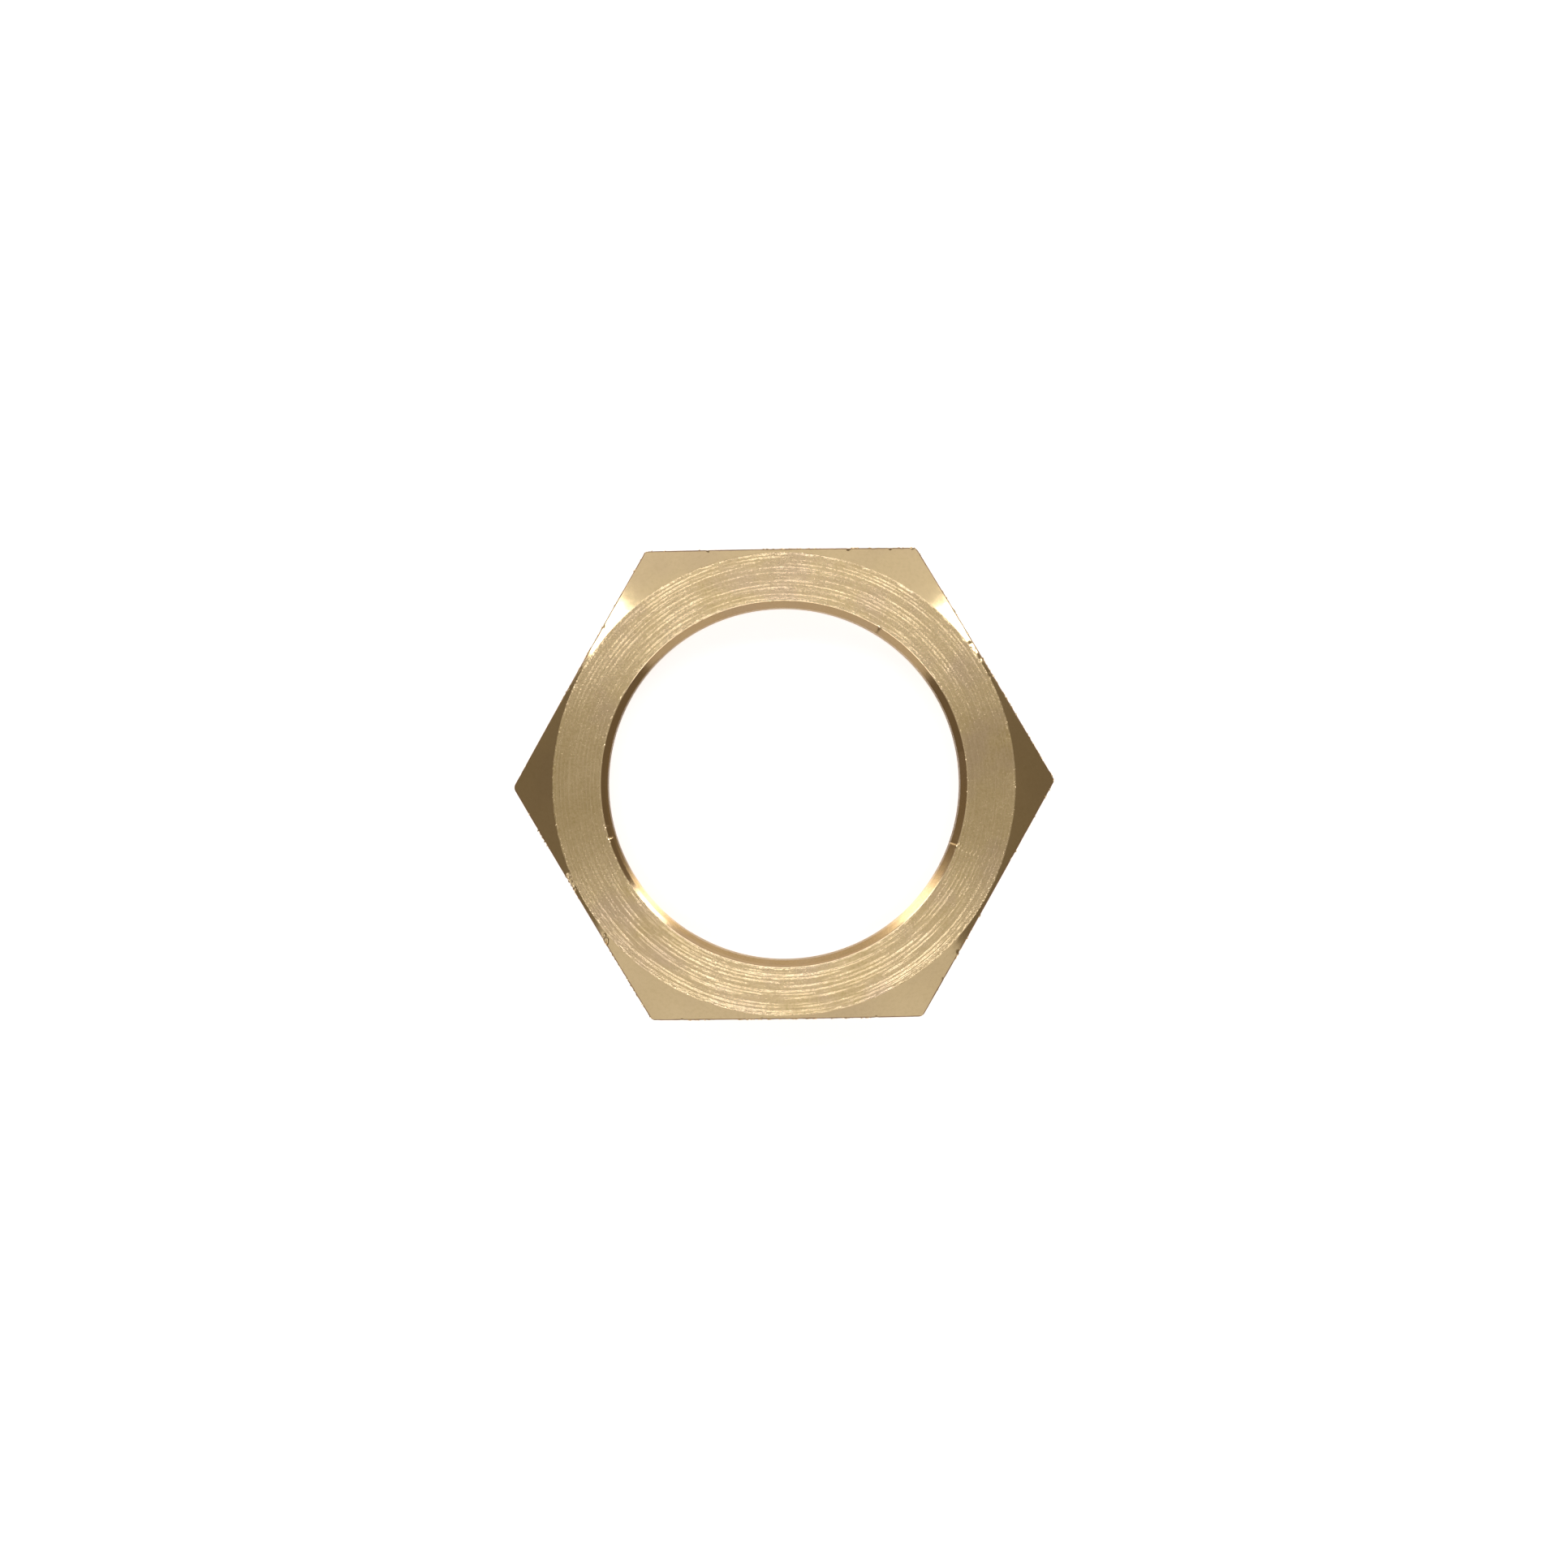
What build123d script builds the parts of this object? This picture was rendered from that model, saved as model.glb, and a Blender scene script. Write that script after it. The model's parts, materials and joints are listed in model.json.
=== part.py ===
from build123d import *

import os
from math import ceil, radians, tan

# A brass hexagon lock nut with a right-hand fine metric thread, M28 x 1, turned from drawn
# hexagonal bar. It is one piece of metal. Millimetres. The origin is on the thread's axis, in
# the plane of the lower face. +Z is the thread's axis and points out of the upper face, and
# two corners of the hexagon lie on the X axis. The nut is the same seen from either face.

# Driving dimensions
across_flats = 36.0  # between two opposite flats of the bar
thickness = 6.0  # from face to face
corner_radius = 0.5  # rounded corners that the bar was drawn with
face_margin = 0.3  # from the edge of a turned face to the flats
chamfer_angle = 30.0  # of the corner chamfers, from the plane of the face
thread_major = 28.0
thread_pitch = 1.0
tapping_allowance = 0.08  # of the bore's diameter, over the thread's basic minor diameter
countersink_margin = 0.05  # from the thread's root to the mouth of the countersink
countersink_angle = 120.0  # included

# ISO metric thread form. The lengths are shares of the pitch.
BASIC_MINOR_DROP = 1.082532  # from the major to the basic minor diameter
ROOT_FLAT = 1 / 8
FLANK_ANGLE = 30.0
CUTTER_OVERLAP = 0.15  # how far the thread cutter stands into the open bore

# Sizes that follow
face_radius = across_flats / 2 - face_margin
root_radius = thread_major / 2
mouth_radius = root_radius + countersink_margin
minor_radius = root_radius - (BASIC_MINOR_DROP * thread_pitch - tapping_allowance) / 2
countersink_depth = (mouth_radius - minor_radius) / tan(radians(countersink_angle / 2))


def hexagonal_bar():
    """A length of the drawn bar, with its rounded corners."""
    section = RegularPolygon(across_flats / 2, 6, major_radius=False)
    section = fillet(section.vertices(), corner_radius)
    return extrude(section, thickness)


def turned_envelope():
    """Two round flat faces, each with a cone that leads from it out past the corners."""
    reach = across_flats
    rise = (reach - face_radius) * tan(radians(chamfer_angle))
    outline = Polyline(
        (0, 0),
        (face_radius, 0),
        (reach, rise),
        (reach, thickness + rise),
        (0, thickness + rise),
        close=True,
    )
    lower_end = revolve(make_face(Plane.XZ * outline), Axis.Z)
    return lower_end & mirror(lower_end, Plane.XY.offset(thickness / 2))


def bore_and_countersinks():
    """What the drill and the two countersinks take out."""
    outline = Polyline(
        (0, 0),
        (mouth_radius, 0),
        (minor_radius, countersink_depth),
        (minor_radius, thickness - countersink_depth),
        (mouth_radius, thickness),
        (0, thickness),
        close=True,
    )
    return revolve(make_face(Plane.XZ * outline), Axis.Z)


def thread_groove(turn):
    """What the tap takes out in one turn. Turn 0 starts a pitch below the lower face."""
    start = (turn - 1) * thread_pitch
    inner_radius = minor_radius - CUTTER_OVERLAP * thread_pitch
    root_half = ROOT_FLAT * thread_pitch / 2
    inner_half = root_half + (root_radius - inner_radius) * tan(radians(FLANK_ANGLE))
    outline = Polyline(
        (inner_radius, start - inner_half),
        (root_radius, start - root_half),
        (root_radius, start + root_half),
        (inner_radius, start + inner_half),
        close=True,
    )
    path = Helix(thread_pitch, thread_pitch, minor_radius, center=(0, 0, start))
    return sweep(make_face(Plane.XZ * outline), path=path, is_frenet=True)


def hex_nut():
    """The whole nut."""
    nut = hexagonal_bar() & turned_envelope()
    nut -= bore_and_countersinks()
    turns = ceil(thickness / thread_pitch) + 2
    for turn in range(turns):
        nut -= thread_groove(turn)
    return nut


os.makedirs("parts", exist_ok=True)
nut = hex_nut()
nut.label = "hex_nut"
export_step(nut, "parts/hex_nut.step")
print("hex_nut volume", round(nut.volume, 2), "mm3, bounding box", nut.bounding_box())
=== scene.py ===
"""The looks of a brass hexagon lock nut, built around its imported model.

The nut is one piece of metal. Its shape is a rule: a round profile that the flats of a rounded
hexagon cut off, and a bore with a helical thread that runs out into two countersinks. A
Geometry Nodes tree works that rule out, and a second one sets the burrs that the tools left along
the edges. Five finishes cover the turned faces, the chamfers, the drawn flats, the thread and the
countersinks.
"""

import json
from math import cos, pi, radians, sin, tan

import bpy
import numpy as np
from bpy.props import FloatProperty, FloatVectorProperty, IntProperty, PointerProperty
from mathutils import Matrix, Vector


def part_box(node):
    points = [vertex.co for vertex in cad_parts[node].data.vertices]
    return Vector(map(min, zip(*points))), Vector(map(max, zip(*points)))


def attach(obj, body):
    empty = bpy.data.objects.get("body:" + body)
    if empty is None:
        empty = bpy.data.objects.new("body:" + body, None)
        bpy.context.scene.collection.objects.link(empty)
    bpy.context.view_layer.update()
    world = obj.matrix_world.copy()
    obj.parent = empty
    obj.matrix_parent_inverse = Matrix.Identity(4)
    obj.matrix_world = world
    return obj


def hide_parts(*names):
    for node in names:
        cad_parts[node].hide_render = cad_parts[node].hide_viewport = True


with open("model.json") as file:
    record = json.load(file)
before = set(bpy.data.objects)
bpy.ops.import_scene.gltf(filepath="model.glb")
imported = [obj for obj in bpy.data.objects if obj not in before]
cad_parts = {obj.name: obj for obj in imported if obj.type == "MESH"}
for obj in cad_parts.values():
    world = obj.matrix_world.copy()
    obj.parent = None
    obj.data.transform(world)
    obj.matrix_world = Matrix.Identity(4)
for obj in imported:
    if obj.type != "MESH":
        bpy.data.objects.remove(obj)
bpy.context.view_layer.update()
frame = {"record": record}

bl_info = {
    "name": "Brass hexagon lock nut",
    "version": (1, 0, 0),
    "blender": (4, 5, 0),
    "location": "3D View > Sidebar > Hex Nut",
    "description": "Builds a threaded hexagon nut with its burrs, finishes and studio",
    "category": "Add Mesh",
}

MM = 0.001
NODE = "hex_nut"
BODY = "root"

cad_low, cad_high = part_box(NODE)
mounts = {mount["name"]: mount for mount in frame["record"]["mounts"]}
CREST_RADIUS = mounts["thread"]["dims"]["r_mm"] * MM
THICKNESS = cad_high[2] - cad_low[2]
ACROSS_FLATS = cad_high[1] - cad_low[1]

FACE, CHAMFER, FLAT, THREAD, SINK = range(5)  # the five finishes, as the trees number them
FLAT_AZIMUTHS = (30, 90, 150)  # degrees, of three flats; the other three lie opposite
FLANK_SLOPE = 1 / tan(radians(30))  # how steeply a thread flank's radius changes with height
SINK_HALF_ANGLE = radians(60)  # between a countersink's slope and the axis
SINK_SLOPE = tan(SINK_HALF_ANGLE)  # how steeply a countersink's radius changes with height
FINE_MARGIN = 0.4 * MM  # of finer rows beside the turned face's edges, for dents
ON_CONE = 0.012 * MM  # a face nearer than this to a countersink's cone belongs to it
SAME_POINT = 0.0015 * MM  # points of two patches that lie closer than this are one
SHARP_EDGE = radians(34)  # an edge that turns by more than this isn't shaded smooth


# ---------------------------------------------------------------------------------------
# Sizes and colours that a user would change


class NutSizes(bpy.types.PropertyGroup):
    across_flats: FloatProperty(
        name="Across flats", description="Between two opposite flats", default=ACROSS_FLATS,
        unit="LENGTH", precision=5,
    )
    thickness: FloatProperty(
        name="Thickness", description="From face to face", default=THICKNESS,
        unit="LENGTH", precision=5,
    )
    corner_radius: FloatProperty(
        name="Corner radius", description="Rounded corners of the drawn bar",
        default=0.5 * MM, unit="LENGTH", precision=5,
    )
    face_margin: FloatProperty(
        name="Face margin", description="From the edge of a turned face to the flats",
        default=0.3 * MM, unit="LENGTH", precision=5,
    )
    chamfer_angle: FloatProperty(
        name="Chamfer angle", description="Of the corner chamfers, from the plane of the face",
        default=radians(30), subtype="ANGLE",
    )
    thread_major: FloatProperty(
        name="Thread major diameter", description="Across the thread's root",
        default=28 * MM, unit="LENGTH", precision=5,
    )
    thread_pitch: FloatProperty(
        name="Thread pitch", description="From one turn to the next", default=1 * MM,
        unit="LENGTH", precision=5,
    )
    crest_radius: FloatProperty(
        name="Crest radius", description="Of the open bore inside the thread",
        default=CREST_RADIUS, unit="LENGTH", precision=5,
    )
    mouth_margin: FloatProperty(
        name="Mouth margin", description="From the thread's root to the countersink's mouth",
        default=0.05 * MM, unit="LENGTH", precision=5,
    )
    edge_break: FloatProperty(
        name="Edge break", description="How far a worn edge reaches to each side",
        default=0.045 * MM, unit="LENGTH", precision=6,
    )
    columns: IntProperty(
        name="Columns", description="Mesh columns around the nut", default=1140,
    )


class BurrSizes(bpy.types.PropertyGroup):
    count: IntProperty(
        name="Burrs", description="Burrs along each kind of edge", default=1300,
    )
    length: FloatProperty(
        name="Length", description="Of the longest burr", default=0.32 * MM,
        unit="LENGTH", precision=6,
    )
    width: FloatProperty(
        name="Width", description="Of the widest burr", default=0.12 * MM,
        unit="LENGTH", precision=6,
    )
    seed: IntProperty(name="Seed", description="Changes where the burrs lie", default=3)
    dents: IntProperty(
        name="Dents", description="Small dents along the outer edges", default=70,
    )
    bruises: IntProperty(
        name="Bruises", description="Dents in the chamfer beside one flat", default=28,
    )


class BrassColours(bpy.types.PropertyGroup):
    clean: FloatVectorProperty(
        name="Clean brass", description="Freshly cut metal", subtype="COLOR",
        default=(0.90, 0.71, 0.43),
    )
    dull: FloatVectorProperty(
        name="Dull brass", description="Metal that has begun to tarnish", subtype="COLOR",
        default=(0.52, 0.39, 0.17),
    )


class Studio(bpy.types.PropertyGroup):
    view_width: FloatProperty(
        name="View width", description="What the camera takes in at the nut", default=0.12,
        unit="LENGTH",
    )
    camera_height: FloatProperty(
        name="Camera height", description="Above the floor", default=0.58, unit="LENGTH",
    )
    camera_roll: FloatProperty(
        name="Camera roll", description="Turn of the camera about its own line",
        default=radians(-0.8), subtype="ANGLE",
    )


# ---------------------------------------------------------------------------------------
# Formulas made of nodes


class Field:
    """A number that nodes work out, so that a rule in a tree reads as a formula."""

    def __init__(self, tree, socket):
        self.tree = tree
        self.socket = socket

    def maths(self, operation, *others):
        node = self.tree.nodes.new("ShaderNodeMath")
        node.operation = operation
        for socket, value in zip(node.inputs, (self, *others)):
            plug(value, socket)
        return Field(self.tree, node.outputs[0])

    def __add__(self, other):
        return self.maths("ADD", other)

    def __sub__(self, other):
        return self.maths("SUBTRACT", other)

    def __mul__(self, other):
        return self.maths("MULTIPLY", other)

    def __truediv__(self, other):
        return self.maths("DIVIDE", other)

    def __radd__(self, other):
        return self.maths("ADD", other)

    def __rsub__(self, other):
        return self.maths("MULTIPLY", -1.0).maths("ADD", other)

    def __rmul__(self, other):
        return self.maths("MULTIPLY", other)

    def __rtruediv__(self, other):
        return self.maths("POWER", -1.0).maths("MULTIPLY", other)

    def __mod__(self, other):
        return self.maths("FLOORED_MODULO", other)

    def __lt__(self, other):
        return self.maths("LESS_THAN", other)

    def __gt__(self, other):
        return self.maths("GREATER_THAN", other)

    def least(self, other):
        return self.maths("MINIMUM", other)

    def most(self, other):
        return self.maths("MAXIMUM", other)

    def sine(self):
        return self.maths("SINE")

    def cosine(self):
        return self.maths("COSINE")

    def root(self):
        return self.maths("SQRT")


def plug(value, socket):
    """Links a field to a socket, or sets the socket to a plain value."""
    if isinstance(value, Field):
        value.tree.links.new(value.socket, socket)
    elif isinstance(value, bpy.types.NodeSocket):
        socket.id_data.links.new(value, socket)
    else:
        socket.default_value = value


def choose(test, yes, no):
    """yes where the test is 1, no where it is 0."""
    return test * (yes - no) + no


def make_node(tree, kind, **inputs):
    """A node with its inputs set or linked by name, with underscores for spaces."""
    node = tree.nodes.new(kind)
    for name, value in inputs.items():
        plug(value, node.inputs[name.replace("_", " ")])
    return node


def new_tree(name, values):
    """A Geometry Nodes tree with one named input for each value, and the fields of its inputs."""
    tree = bpy.data.node_groups.new(name, "GeometryNodeTree")
    tree.is_modifier = True
    for label, value in values.items():
        kind = "NodeSocketInt" if isinstance(value, int) else "NodeSocketFloat"
        socket = tree.interface.new_socket(label, in_out="INPUT", socket_type=kind)
        socket.default_value = value
    tree.interface.new_socket("Geometry", in_out="OUTPUT", socket_type="NodeSocketGeometry")
    outputs = tree.nodes.new("NodeGroupInput").outputs
    return tree, {label: Field(tree, outputs[label]) for label in values}


def build(name, tree):
    """The tree's result as a plain mesh object at the origin."""
    empty = bpy.data.meshes.new(name + "_start")
    maker = bpy.data.objects.new(name + "_start", empty)
    bpy.context.scene.collection.objects.link(maker)
    modifier = maker.modifiers.new("Rule", "NODES")
    modifier.node_group = tree
    for item in tree.interface.items_tree:
        if item.in_out == "INPUT":
            modifier[item.identifier] = item.default_value
    graph = bpy.context.evaluated_depsgraph_get()
    mesh = bpy.data.meshes.new_from_object(maker.evaluated_get(graph), depsgraph=graph)
    bpy.data.objects.remove(maker)
    bpy.data.meshes.remove(empty)
    mesh.name = name
    mesh.materials.pop(index=0)  # the empty slot that the modifier's own mesh had
    piece = bpy.data.objects.new(name, mesh)
    bpy.context.scene.collection.objects.link(piece)
    return piece


# ---------------------------------------------------------------------------------------
# The nut's rule


class NutRule:
    """The nut's outline in (radius, height), as fields of the turn around the axis."""

    def __init__(self, value, turn):
        self.turn = turn
        self.angle = turn * (2 * pi)
        self.thickness = value["Thickness"]
        self.pitch = value["Thread Pitch"]
        self.crest = value["Crest Radius"]
        self.root = value["Thread Major"] / 2
        self.mouth = self.root + value["Mouth Margin"]
        self.edge_break = value["Edge Break"]
        half = value["Across Flats"] / 2
        self.face_edge = half - value["Face Margin"]
        self.cosine = value["Chamfer Angle"].cosine()
        self.sine = value["Chamfer Angle"].sine()
        self.rim = self.hexagon(half, value["Corner Radius"])
        self.drop = (self.rim - self.face_edge) * self.sine / self.cosine
        sink_length = (self.mouth - self.root) / sin(SINK_HALF_ANGLE)
        self.mouth_break = self.edge_break.least(sink_length * 0.9)  # stays on the countersink

    def hexagon(self, half, corner_radius):
        """How far the rounded hexagon reaches. Turn 0 points at a corner."""
        from_flat = ((self.turn * 6 % 1.0) - 0.5).maths("ABSOLUTE") * (pi / 3)
        from_corner = pi / 6 - from_flat
        middle = (half - corner_radius) / cos(pi / 6)
        meeting = ((1.0 - corner_radius / half) * tan(pi / 6)).maths("ARCTANGENT")
        aside = middle * from_corner.sine()
        arc = (corner_radius * corner_radius - aside * aside).most(0.0).root()
        in_corner = middle * from_corner.cosine() + arc
        return choose(from_flat > meeting, in_corner, half / from_flat.cosine())


def vector(tree, x, y, z):
    return make_node(tree, "ShaderNodeCombineXYZ", X=x, Y=y, Z=z).outputs[0]


def position(tree):
    place = make_node(tree, "GeometryNodeInputPosition")
    split = make_node(tree, "ShaderNodeSeparateXYZ", Vector=place.outputs[0])
    return [Field(tree, output) for output in split.outputs]


def station(tree, rule, radius, height):
    """The point of the rule's surface at this radius and height."""
    return vector(tree, radius * rule.angle.cosine(), radius * rule.angle.sine(), height)


def patch(tree, columns, rows, finish, place):
    """A stretch of surface whose points the rule places, with its finish's number."""
    grid = make_node(tree, "GeometryNodeMeshGrid", Size_X=1.0, Size_Y=1.0)
    plug(columns + 1.0, grid.inputs["Vertices X"])
    plug(rows, grid.inputs["Vertices Y"])
    flat = grid.outputs["Mesh"]
    moved = make_node(tree, "GeometryNodeSetPosition", Geometry=flat, Position=place)
    named = tree.nodes.new("GeometryNodeStoreNamedAttribute")
    named.data_type = "INT"
    named.domain = "FACE"
    plug(moved.outputs[0], named.inputs["Geometry"])
    plug("finish", named.inputs["Name"])
    plug(finish, named.inputs["Value"])
    return named.outputs[0]


def join(tree, parts):
    node = tree.nodes.new("GeometryNodeJoinGeometry")
    for part in reversed(parts):
        tree.links.new(part, node.inputs[0])
    return node.outputs[0]


def nut_values(sizes):
    """The inputs that every tree on the nut's rule has."""
    return {
        "Across Flats": sizes.across_flats,
        "Thickness": sizes.thickness,
        "Corner Radius": sizes.corner_radius,
        "Face Margin": sizes.face_margin,
        "Chamfer Angle": sizes.chamfer_angle,
        "Thread Major": sizes.thread_major,
        "Thread Pitch": sizes.thread_pitch,
        "Crest Radius": sizes.crest_radius,
        "Mouth Margin": sizes.mouth_margin,
        "Edge Break": sizes.edge_break,
    }


def nut_tree(values, finishes):
    """The whole nut: six patches for the upper half, their mirror image, and the bore."""
    tree, given = new_tree("Threaded hexagon nut", values)
    x, y, _ = position(tree)
    turn = x + 0.5
    along = y + 0.5
    columns = given["Columns"]
    rule = NutRule(given, turn)
    upper = upper_half(tree, rule, columns, along)
    outward = make_node(tree, "GeometryNodeFlipFaces", Mesh=upper).outputs[0]
    lift = vector(tree, 0.0, 0.0, rule.thickness)
    lower = make_node(
        tree, "GeometryNodeTransform", Geometry=upper, Scale=(1, 1, -1), Translation=lift
    )
    bore = bore_patch(tree, rule, columns, along)
    whole = join(tree, [outward, lower.outputs[0], bore])
    closed = make_node(tree, "GeometryNodeMergeByDistance", Geometry=whole, Distance=SAME_POINT)
    creased = crease(tree, closed.outputs[0], SHARP_EDGE)
    last = make_node(tree, "GeometryNodeRealizeInstances", Geometry=creased).outputs[0]
    number = tree.nodes.new("GeometryNodeInputNamedAttribute")
    number.data_type = "INT"
    plug("finish", number.inputs["Name"])
    for finish, material in finishes.items():
        same = (Field(tree, number.outputs["Attribute"]) - float(finish)).maths("ABSOLUTE") < 0.5
        painted = make_node(
            tree, "GeometryNodeSetMaterial", Geometry=last, Selection=same, Material=material
        )
        last = painted.outputs[0]
    plug(last, tree.nodes.new("NodeGroupOutput").inputs[0])
    return tree


def crease(tree, mesh, limit):
    """Smooth shading that breaks at the edges which turn by more than the limit."""
    smooth = make_node(tree, "GeometryNodeSetShadeSmooth", Geometry=mesh, Shade_Smooth=True)
    turned = make_node(tree, "GeometryNodeInputMeshEdgeAngle")
    sharp = Field(tree, turned.outputs["Unsigned Angle"]) > limit
    node = tree.nodes.new("GeometryNodeSetShadeSmooth")
    node.domain = "EDGE"
    plug(smooth.outputs[0], node.inputs["Geometry"])
    plug(sharp, node.inputs["Selection"])
    plug(False, node.inputs["Shade Smooth"])
    return node.outputs[0]


def upper_half(tree, rule, columns, along):
    """The mouth's edge, the turned face, the chamfer, the flats and the edges between them."""
    edge_band, mouth_worn = rule.edge_break, rule.mouth_break
    top = rule.thickness
    mouth, face_edge, rim = rule.mouth, rule.face_edge, rule.rim
    rim_height = top - rule.drop

    def line(start, end, share=along):
        return [a + (b - a) * share for a, b in zip(start, end)]

    def bend(start, corner, end):
        """A rounded edge: a curve that leaves and meets its sides in line with them."""
        left = 1.0 - along
        near, middle, far = left * left, left * along * 2, along * along
        return [a * near + b * middle + c * far for a, b, c in zip(start, corner, end)]

    in_mouth = (
        mouth - mouth_worn * sin(SINK_HALF_ANGLE),
        top - mouth_worn * cos(SINK_HALF_ANGLE),
    )
    on_face = (mouth + edge_band, top)
    face_end = (face_edge - edge_band, top)
    chamfer_start = (face_edge + edge_band * rule.cosine, top - edge_band * rule.sine)
    chamfer_end = (rim - edge_band * rule.cosine, rim_height + edge_band * rule.sine)
    flat_start = (rim, rim_height - edge_band)
    stretches = [  # rows, finish, and the place along them
        (4, CHAMFER, bend(in_mouth, (mouth, top), on_face)),
        (3, FACE, line(on_face, (mouth + FINE_MARGIN, top))),
        (2, FACE, line((mouth + FINE_MARGIN, top), (face_edge - FINE_MARGIN, top))),
        (3, FACE, line((face_edge - FINE_MARGIN, top), face_end)),
        (4, FACE, bend(face_end, (face_edge, top), chamfer_start)),
        (9, CHAMFER, line(chamfer_start, chamfer_end, 1.0 - (1.0 - along) * (1.0 - along))),
        (5, CHAMFER, bend(chamfer_end, (rim, rim_height), flat_start)),
        (7, FLAT, line(flat_start, (rim, top / 2), along * along)),
    ]
    patches = [
        patch(tree, columns, rows, finish, station(tree, rule, *place))
        for rows, finish, place in stretches
    ]
    return join(tree, patches)


def bore_patch(tree, rule, columns, along):
    """The bore from one countersink's edge to the other.

    Each groove of the thread has four rows of points: its crest and root edges. Where a
    countersink has cut a row away, the row lies on the countersink's cone instead, so that the
    thread runs out as a real one does.
    """
    pitch, crest, root, mouth = rule.pitch, rule.crest, rule.root, rule.mouth
    top = rule.thickness
    root_half = pitch / 16  # half the width of a groove at its root
    mouth_half = root_half + (root - crest) / FLANK_SLOPE  # and where it opens into the bore
    spare = 1.0  # grooves beyond each face
    grooves = (top / pitch).maths("CEIL") + spare * 2
    rows = grooves * 4 + 2.0
    row = (along * (rows - 1.0)).maths("ROUND")
    label = row - 1.0
    groove = grooves - spare - 1.0 - (label / 4).maths("FLOOR")
    centre = (groove + rule.turn) * pitch
    is_upper = centre > top / 2
    edge = label % 4.0
    edge = choose(is_upper, edge, 3.0 - edge)  # 0 is nearest to the face
    depth = centre.least(top - centre)
    root_depth = (mouth - root) / SINK_SLOPE

    def outer_crest(depth):
        """Where a groove's flank nearer to the face meets the crest or the cone."""
        root_edge = depth - root_half
        meets = (mouth - root + root_edge * FLANK_SLOPE) / (SINK_SLOPE + FLANK_SLOPE)
        radius = (root - (root_edge - meets) * FLANK_SLOPE).least(root).most(crest)
        return radius, (depth - mouth_half).most(meets).most(root_depth)

    outer = outer_crest(depth)
    deeper = outer_crest(depth + pitch)
    survives = depth + root_half > root_depth
    inner = (
        choose(survives, crest, deeper[0]),
        choose(survives, depth + mouth_half, (mouth - deeper[0]) / SINK_SLOPE),
    )
    outer_root = (root, (depth - root_half).most(root_depth))
    inner_root = (root, (depth + root_half).most(root_depth))
    radius, down = (
        choose(edge < 0.5, a, choose(edge < 1.5, b, choose(edge < 2.5, c, d)))
        for a, b, c, d in zip(outer, outer_root, inner_root, inner)
    )
    at_end = (row < 0.5) + (row > rows - 1.5)
    radius = choose(at_end, mouth - rule.mouth_break * sin(SINK_HALF_ANGLE), radius)
    down = choose(at_end, rule.mouth_break * cos(SINK_HALF_ANGLE), down)
    height = choose(is_upper, top - down, down)
    x, y, z = position(tree)
    inwards = mouth - (x * x + y * y).root()
    off_cone = (inwards - z.least(top - z) * SINK_SLOPE).maths("ABSOLUTE")
    finish = choose(off_cone < ON_CONE, float(SINK), float(THREAD))
    return patch(tree, columns, rows, finish, station(tree, rule, radius, height))


# ---------------------------------------------------------------------------------------
# Burrs and dents

CLUMP_SCALE = 330.0  # of the noise that clumps the burrs
CLUMP_FROM = 0.47  # burrs stand only where that noise is above this
SHAKE_SCALE = 14000.0  # of the noise that bends each burr
SHAKE = 0.03 * MM  # how far it bends a burr to each side


def chance(tree, low, high, seed):
    """A different number between low and high for each point."""
    node = tree.nodes.new("FunctionNodeRandomValue")
    node.data_type = "FLOAT"
    for socket in node.inputs:
        if socket.type == "VALUE" and socket.name in ("Min", "Max"):
            plug(low if socket.name == "Min" else high, socket)
    plug(seed, node.inputs["Seed"])
    return Field(tree, next(output for output in node.outputs if output.type == "VALUE"))


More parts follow.
